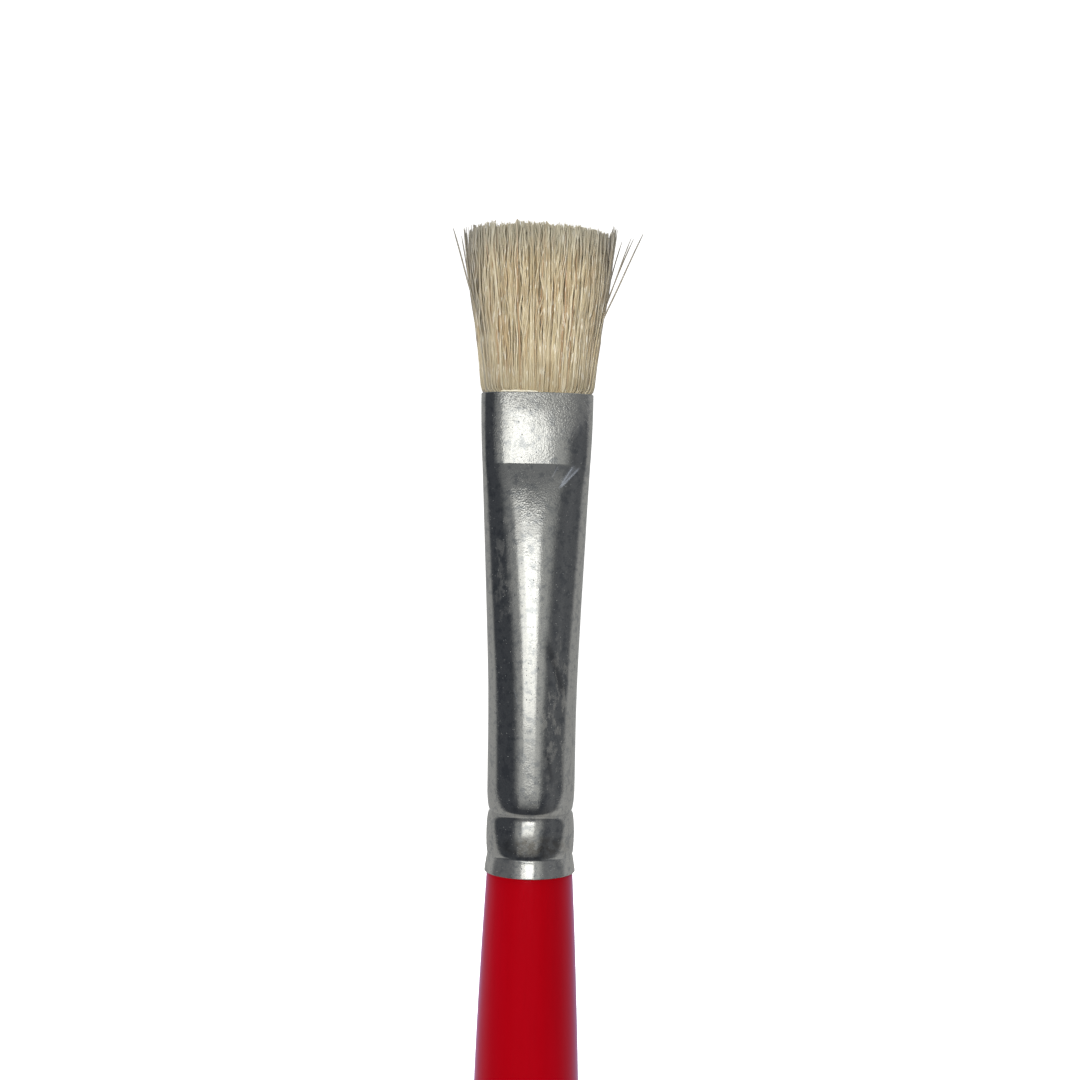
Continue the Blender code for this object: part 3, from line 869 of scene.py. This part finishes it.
def bundle_strands(steps):
    """Paths, radii and colours of every bristle of the bundle, and its place from front to back."""
    places = bundle_grid()
    count = len(places)
    square = squarer(places, TIP_SQUARENESS)
    clumps, nearest = nearest_clumps(square, CLUMPS)
    tips = tip_height(square[:, 0] * BUNDLE_TIP[0], square[:, 1] * BUNDLE_TIP[1])
    tips += RNG.normal(0, CLUMP_HEIGHT_SPREAD, CLUMPS)[nearest] * MM
    tips -= RNG.gamma(*TIP_SHORTFALL, count) * MM
    heights = strand_heights(tips, steps)
    width, depth = interp(BUNDLE_WIDTH, heights), interp(BUNDLE_DEPTH, heights)
    free = lean(heights)
    pull = CLUMP_PULL * free**2.2
    u = places[:, 0, None] + (square - places)[:, 0, None] * free
    v = places[:, 1, None] + (square - places)[:, 1, None] * free
    u = u + (clumps[nearest, 0][:, None] - u) * pull * CLUMP_PULL_ACROSS
    v = v + (clumps[nearest, 1][:, None] - v) * pull
    sideways, outwards = u * width, v * depth
    for path in (sideways, outwards):
        loose = (RNG.uniform(0, 1, count) < LOOSE_SHARE) * RNG.normal(0, LOOSE_SPLAY, count) * MM
        splay = RNG.normal(0, SPLAY, count) * MM + loose
        path += waves(count, heights, *LONG_WAVE) * free**0.7
        path += waves(count, heights, *SHORT_WAVE) * np.clip(free * 3, 0, 1)
        path += splay[:, None] * free**1.5
    limit = width * 1.02
    sideways = np.clip(sideways, -limit, limit)
    paths = np.stack([sideways, outwards, MOUTH_Z + heights], axis=2)
    radius = STRAND_RADIUS * np.clip(RNG.normal(1.0, RADIUS_SPREAD, count), 0.6, 1.5)
    thick = RNG.uniform(0, 1, count) < THICK_SHARE
    radius[thick] *= THICK_RADIUS
    radii = radius[:, None] * (1 - TAPER * free)
    radii[:, -1] *= 0.5
    tint = RNG.uniform(0, 1, count)
    tint[thick] = 0.8 + 0.2 * tint[thick]
    tint = np.repeat(tint[:, None], heights.shape[1], axis=1)
    grey = np.zeros_like(u)
    # Painted shade: greyer towards the bundle's sides.
    for full, start, end in (SIDE_SHADE_GREY, OUTER_SHADE_GREY):
        grey += full * np.clip((np.abs(u) - start) / (end - start), 0, 1)
    colours = np.stack([tint, np.clip(heights / tips[:, None], 0, 1), grey], axis=2)
    return paths, radii, colours, places[:, 1]


def finish_bristles(obj, nodes):
    """Gives a piece of bristles its material, hides the CAD nodes it stands for and moves its place into
    its mesh.
    """
    obj.data.materials.append(MATERIAL_BRISTLE)
    if nodes:
        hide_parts(*nodes)
    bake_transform(obj)


def make_bundle():
    """The bundle in three layers, front to back, so that no piece is too heavy."""
    paths, radii, colours, place = bundle_strands(18)
    core = 0.36  # share of the half depth
    layers = (
        ("bristles_front", place < -core, 6, 1, ()),
        ("bristles_core", abs(place) <= core, 5, 2, ("bristle_tuft", "bristle_roots")),
        ("bristles_back", place > core, 6, 1, ()),
    )
    for name, chosen, sides, skip, nodes in layers:
        last = paths.shape[1] - 1
        kept = [k for k in range(last + 1) if k % skip == 0 or k == last]
        chosen = np.ix_(chosen.nonzero()[0], kept)
        obj = strand_mesh(name, paths[chosen], radii[chosen], colours[chosen], sides)
        finish_bristles(obj, nodes)


def edge_strand(side, depth_share, leave, reach, tip, bow, spread):
    """One bristle that runs up the edge of the bundle, then leaves it for its own tip."""
    heights = np.concatenate([np.array(ROOT_HEIGHTS), np.linspace(FIRST_STEP, tip, 16)])
    edge = (1 - abs(depth_share) ** PAD_SQUARENESS) ** (1 / PAD_SQUARENESS)
    free = lean(heights)
    width = interp(BUNDLE_WIDTH, heights) * (edge + (1 - edge) * free)
    share = np.clip((heights - leave) / (tip - leave), 0, 1)
    out = (reach - width[-1]) * ((1 - bow) * share + bow * share**2)
    y = depth_share * interp(BUNDLE_DEPTH, heights) * (1 + (spread - 1) * share)
    return np.stack([side * (width + out), y, MOUTH_Z + heights], axis=1), heights


def edge_piece(name, node, strands, radius, sides, tint_low, tint_high):
    """Edge bristles as one piece, greyer where they leave the bundle."""
    rows, radii, colours = [], [], []
    for side, depth_share, leave, reach, tip, bow, spread, grey in strands:
        path, heights = edge_strand(side, depth_share, leave, reach, tip, bow, spread)
        fade = radius * np.clip(RNG.normal(1.0, 0.12), 0.75, 1.3) * (1 - 0.3 * lean(heights))
        fade[-1] *= 0.5
        tint = np.full(len(heights), RNG.uniform(tint_low, tint_high))
        shade = grey * np.clip((heights - leave + 3 * MM) / (4 * MM), 0.25, 1)
        rows.append(path)
        radii.append(fade)
        colours.append(np.stack([tint, np.clip(heights / tip, 0, 1), shade], axis=1))
    obj = strand_mesh(name, np.array(rows), np.array(radii), np.array(colours), sides)
    finish_bristles(obj, (node,))


# Locks: nearest and farthest tip from the axis, tip height, bristles, height they leave at, greyness,
# which paints shade on the locks
LOCK_LEFT = (6.1 * MM, 6.85 * MM, 14.5 * MM, 12, 6.5 * MM, 0.75)
LOCK_RIGHT = (6.3 * MM, 6.8 * MM, 14.75 * MM, 22, 7.5 * MM, 0.7)


def lock_strands(side, near, far, tip, count, leave, grey):
    """Bristles of a lock that stands slightly off one edge of the bundle."""
    strands = []
    for i in range(count):
        reach = near + (far - near) * (i + 0.5) / count
        top = tip - RNG.gamma(1.2, 0.12) * MM
        start = leave + RNG.uniform(-1.5, 1.5) * MM
        depth = RNG.uniform(-0.7, 0.7)
        strands.append((side, depth, start, reach, top, 0.1, 1.0, grey * RNG.uniform(0.6, 1.0)))
    return strands


# Stray bristles: side, place in the bundle's depth, height they leave it at, tip out from the axis,
# tip height, bow, spread in depth, greyness
STRAYS = (
    (-1, -0.45, 7.4 * MM, 7.75 * MM, 14.15 * MM, 0.22, 1.3, 0.62),
    (-1, 0.4, 8.4 * MM, 6.95 * MM, 14.2 * MM, 0.2, 1.3, 0.62),
    (1, -0.5, 6.4 * MM, 8.95 * MM, 14.15 * MM, 0.2, 1.3, 0.62),
    (1, 0.45, 7.2 * MM, 8.62 * MM, 14.45 * MM, 0.25, 1.3, 0.62),
    (1, -0.25, 7.6 * MM, 8.05 * MM, 14.0 * MM, 0.25, 1.3, 0.62),
    (1, 0.2, 8.4 * MM, 7.45 * MM, 14.0 * MM, 0.3, 1.3, 0.62),
)
STRAY_RADIUS = 0.076 * MM


def make_edges():
    """The locks at both edges and the single strays."""
    left = lock_strands(-1, *LOCK_LEFT)
    right = lock_strands(1, *LOCK_RIGHT)
    edge_piece("bristle_lock_left", "edge_lock_left", left, STRAND_RADIUS * 0.85, 7, 0.1, 0.9)
    edge_piece("bristle_lock_right", "edge_lock_right", right, STRAND_RADIUS, 7, 0.1, 0.9)
    for number, stray in enumerate(STRAYS, 1):
        name = f"stray_hair_{number}"
        edge_piece(name, f"stray_bristle_{number}", (stray,), STRAY_RADIUS, 8, 0.3, 0.4)


# Places tried for split ends, of which those inside the bundle are used, and their radius
FLAG_TRIES = 800
FLAG_RADIUS = 0.036 * MM


def make_flags():
    """The split ends of the bristles: hair-fine wisps among the tips."""
    place = RNG.uniform(-1, 1, (FLAG_TRIES, 2))
    inside = np.abs(place[:, 0]) ** TIP_SQUARENESS + np.abs(place[:, 1]) ** TIP_SQUARENESS < 1
    place = place[inside]
    count = len(place)
    x, y = place[:, 0] * BUNDLE_TIP[0], place[:, 1] * BUNDLE_TIP[1]
    tips = tip_height(x, y) + RNG.normal(-0.12, 0.15, count) * MM
    share = np.linspace(0, 1, 6)
    start = tips - RNG.uniform(1.6, 3.4, count) * MM
    heights = start[:, None] + (tips - start)[:, None] * share
    bend = RNG.normal(0, 0.16, (count, 2)) * MM
    squeeze = 1 - 0.015 * (1 - share)
    px = x[:, None] * squeeze + bend[:, 0, None] * share**1.5
    py = y[:, None] * squeeze + bend[:, 1, None] * share**1.5
    paths = np.stack([px, py, MOUTH_Z + heights], axis=2)
    radii = FLAG_RADIUS * np.repeat((1 - 0.5 * share)[None, :], count, axis=0)
    tint = np.repeat(RNG.uniform(0, 1, count)[:, None], len(share), axis=1)
    grey = np.full_like(tint, 0.12)
    colours = np.stack([tint, np.clip(heights / tips[:, None], 0, 1), grey], axis=2)
    obj = strand_mesh("bristle_flags", paths, radii, colours, 5)
    finish_bristles(obj, ())


# Where the pale line of painted highlight runs along the mouth's front, and how far into the sheet's
# thickness
RIM_HIGHLIGHT_START, RIM_HIGHLIGHT_END = -3.35 * MM, -0.1 * MM
RIM_HIGHLIGHT_INSET = SHEET * 0.62


def make_rim_highlight():
    """A thin pale line between the sheet and the bristles at the front: a painted highlight of the
    mouth's rim.
    """
    half_width, half_depth, squareness = pressed_section(0.0)
    steps, sides = 36, 8
    path, radii = [], []
    for k in range(steps + 1):
        share = k / steps
        x = RIM_HIGHLIGHT_START + (RIM_HIGHLIGHT_END - RIM_HIGHLIGHT_START) * share
        y = -(half_depth - RIM_HIGHLIGHT_INSET) * (1 - abs(x / half_width) ** squareness) ** (1 / squareness)
        lift = 0.05 + 0.03 * noise.noise(Vector((x / MM * 1.7, 0, 0)))
        path.append((x, y, MOUTH_Z + lift * MM))
        radii.append((0.03 + 0.085 * math.sin(math.pi * share) ** 0.35) * MM)
    points = []
    for (x, y, z), radius in zip(path, radii):
        for i in range(sides):
            a = 2 * math.pi * i / sides
            points.append((x, y + radius * math.cos(a), z + radius * math.sin(a)))
    faces = [tuple(reversed(face)) for face in capped_faces(steps + 1, sides)]
    # This pale line paints the highlight of the mouth's rim.
    glue = add_mesh("rim_highlight_line", points, faces, 60)
    glue.data.materials.append(rim_highlight_material())
    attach(glue, "held")


# --- hidden pieces ---


def dress_hidden_nodes():
    """Materials for the CAD pieces that stay as they are inside the ferrule."""
    for node, made in (
        ("root_plug", resin_material()),
        ("tenon_glue", glue_material()),
        ("root_binding", thread_material()),
    ):
        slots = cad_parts[node].data.materials
        slots.clear()
        slots.append(made)


# --- studio ---

# In metres: a round floor under the brush, a cove and a wall
STUDIO_RADIUS = 1.6
COVE_RADIUS = 0.5
WALL_HEIGHT = 2.4
FLOOR_Z = BUTT_Z - 0.2 * MM


def make_studio():
    """A pale floor, cove and wall, seen by the camera and left out of reflections."""
    floor_radius = STUDIO_RADIUS - COVE_RADIUS
    profile = [(0.02, FLOOR_Z), (0.3, FLOOR_Z), (floor_radius, FLOOR_Z)]
    for k in range(1, 13):
        a = k / 12 * math.pi / 2
        z = FLOOR_Z + COVE_RADIUS * (1 - math.cos(a))
        profile.append((floor_radius + COVE_RADIUS * math.sin(a), z))
    profile.append((STUDIO_RADIUS, FLOOR_Z + WALL_HEIGHT))
    sides = 96
    vertices = [point for radius, z in profile for point in oval_ring(z, radius, radius, ROUND, sides)]
    faces = [tuple(reversed(face)) for face in ring_faces(len(profile), sides, False)]
    faces.append(tuple(range(sides)))
    studio = add_mesh("studio_floor", vertices, faces, 60)
    studio.data.materials.append(paper_material())
    studio.visible_glossy = False
    studio.visible_diffuse = False
    studio.visible_shadow = False


def direction(azimuth, elevation):
    """A unit vector, in degrees round from the camera's side and up from level."""
    az, el = math.radians(CAMERA_AZIMUTH + azimuth), math.radians(elevation)
    return Vector((math.sin(az) * math.cos(el), -math.cos(az) * math.cos(el), math.sin(el)))


def soft_patch(n, azimuth, elevation, half_width, half_height, soft):
    """1 inside an oblong patch of the surroundings, 0 outside it, all in degrees."""
    towards = direction(azimuth, elevation)
    across = direction(azimuth + 90, 0)
    patch = n.math("GREATER_THAN", n.dot(n.coords, towards), 0.0)
    for axis, half in ((across, half_width), (towards.cross(across), half_height)):
        inner = math.sin(math.radians(max(half - soft, 0)))
        outer = math.sin(math.radians(min(half + soft, 90)))
        edge = n.range(n.math("ABSOLUTE", n.dot(n.coords, axis)), inner, outer, 1.0, 0.0)
        patch = n.times(patch, edge)
    return patch


# What shiny surfaces mirror, in degrees from the camera's side: azimuth, elevation, half width,
# half height, softness, and the light's colour
MIRRORED = (
    (-6.0, 0.4, 15.0, 7.1, 2.6, (1.13, 1.12, 1.07)),
    (1.0, 5.4, 11.0, 2.0, 2.2, (1.2, 1.2, 1.17)),
    (-7.0, -3.0, 34.0, 9.0, 9.0, (0.26, 0.26, 0.25)),
    (-5.0, -15.0, 26.0, 8.0, 4.5, (0.24, 0.24, 0.23)),
    (20.0, 3.0, 12.0, 12.0, 9.0, (0.14, 0.14, 0.13)),
    (2.0, 48.0, 32.0, 42.0, 12.0, (0.15, 0.15, 0.145)),
    (52.0, 0.0, 12.0, 40.0, 8.0, (0.05, 0.05, 0.05)),
    (80.0, 0.0, 20.0, 40.0, 14.0, (0.05, 0.05, 0.05)),
    (180.0, 10.0, 13.0, 26.0, 7.0, (0.9, 0.9, 0.88)),
)
ROOM_COLOUR = (0.062, 0.067, 0.077)
# A pale ceiling and a pale table, each beyond a plane that is turned and tilted: tilt in degrees,
# start and end of the soft edge, colour
PALE_TURN = math.radians(8.8)
PALE_HALVES = (
    (-48.0, 0.02, 0.2, (0.32, 0.32, 0.32)),
    (52.0, 0.13, 0.29, (0.38, 0.38, 0.375)),
)
AMBIENT_COLOUR = (1.0, 0.985, 0.96)
AMBIENT = 0.28


def make_world():
    """Even light for colour, and a room with windows, ceiling and table for gloss to mirror."""
    world = bpy.data.worlds.new("studio_light")
    bpy.context.scene.world = world
    world.use_nodes = True
    world.node_tree.nodes.clear()
    n = Nodes(world.node_tree, "Generated")
    room = ROOM_COLOUR
    for tilt, edge_start, edge_end, colour in PALE_HALVES:
        level, down = math.cos(math.radians(tilt)), -math.sin(math.radians(tilt))
        away = (level * math.sin(PALE_TURN), level * math.cos(PALE_TURN), down)
        room = n.mix(n.range(n.dot(n.coords, away), edge_start, edge_end), room, colour)
    for *place, colour in MIRRORED:
        room = n.mix(soft_patch(n, *place), room, colour, "ADD")
    mirrored = world.node_tree.nodes.new("ShaderNodeBackground")
    n.feed(mirrored.inputs["Color"], room)
    even = world.node_tree.nodes.new("ShaderNodeBackground")
    n.feed(even.inputs["Color"], AMBIENT_COLOUR)
    even.inputs["Strength"].default_value = AMBIENT
    path = world.node_tree.nodes.new("ShaderNodeLightPath")
    mix = world.node_tree.nodes.new("ShaderNodeMixShader")
    n.link(path.outputs["Is Glossy Ray"], mix.inputs[0])
    n.link(even.outputs[0], mix.inputs[1])
    n.link(mirrored.outputs[0], mix.inputs[2])
    output = world.node_tree.nodes.new("ShaderNodeOutputWorld")
    n.link(mix.outputs[0], output.inputs["Surface"])


# Lamps that light colour and are left out of reflections: azimuth and elevation in degrees,
# distance and size in metres, watts
SOFTBOXES = (
    ("key_softbox", -8.0, 10.0, 0.6, 0.26, 2.6),
    ("left_rear_softbox", -125.0, 20.0, 0.8, 0.4, 1.6),
    ("right_rear_softbox", 125.0, 20.0, 0.8, 0.4, 1.6),
    ("back_softbox", 180.0, 15.0, 0.7, 0.35, 1.8),
    ("top_softbox", 0.0, 78.0, 0.7, 0.35, 1.2),
)


def make_lights():
    """The softboxes, all turned to the middle of the ferrule."""
    target = Vector((0.0, 0.0, MOUTH_Z - 20 * MM))
    for name, azimuth, elevation, distance, size, power in SOFTBOXES:
        back = direction(azimuth, elevation)
        light = bpy.data.lights.new(name, "AREA")
        light.size = size
        light.energy = power
        obj = bpy.data.objects.new(name, light)
        obj.location = target + back * distance
        obj.rotation_mode = "QUATERNION"
        obj.rotation_quaternion = back.to_track_quat("Z", "Y")
        obj.visible_glossy = False
        bpy.context.scene.collection.objects.link(obj)


def make_camera():
    """The camera, rolled a little about its own line of sight."""
    data = bpy.data.cameras.new("camera")
    data.lens = CAMERA_LENS
    data.sensor_width = 36.0
    data.clip_start = 0.01
    data.clip_end = 20.0
    camera = bpy.data.objects.new("camera", data)
    across = direction(90, 0)
    back = direction(0, 0)
    rise = Vector((0, 0, 1))
    c, s = math.cos(CAMERA_ROLL), math.sin(CAMERA_ROLL)
    axes = Matrix((across * c + rise * s, rise * c - across * s, back)).transposed()
    place = back * CAMERA_DISTANCE + across * CAMERA_SIDE + rise * CAMERA_Z
    camera.matrix_world = Matrix.Translation(place) @ axes.to_4x4()
    bpy.context.scene.collection.objects.link(camera)
    bpy.context.scene.camera = camera


make_camera()
make_ferrule()
make_handle()
MATERIAL_BRISTLE = bristle_material()
make_bundle()
make_edges()
make_flags()
make_rim_highlight()
dress_hidden_nodes()
make_studio()
make_world()
make_lights()
bpy.context.scene.view_settings.view_transform = "Standard"
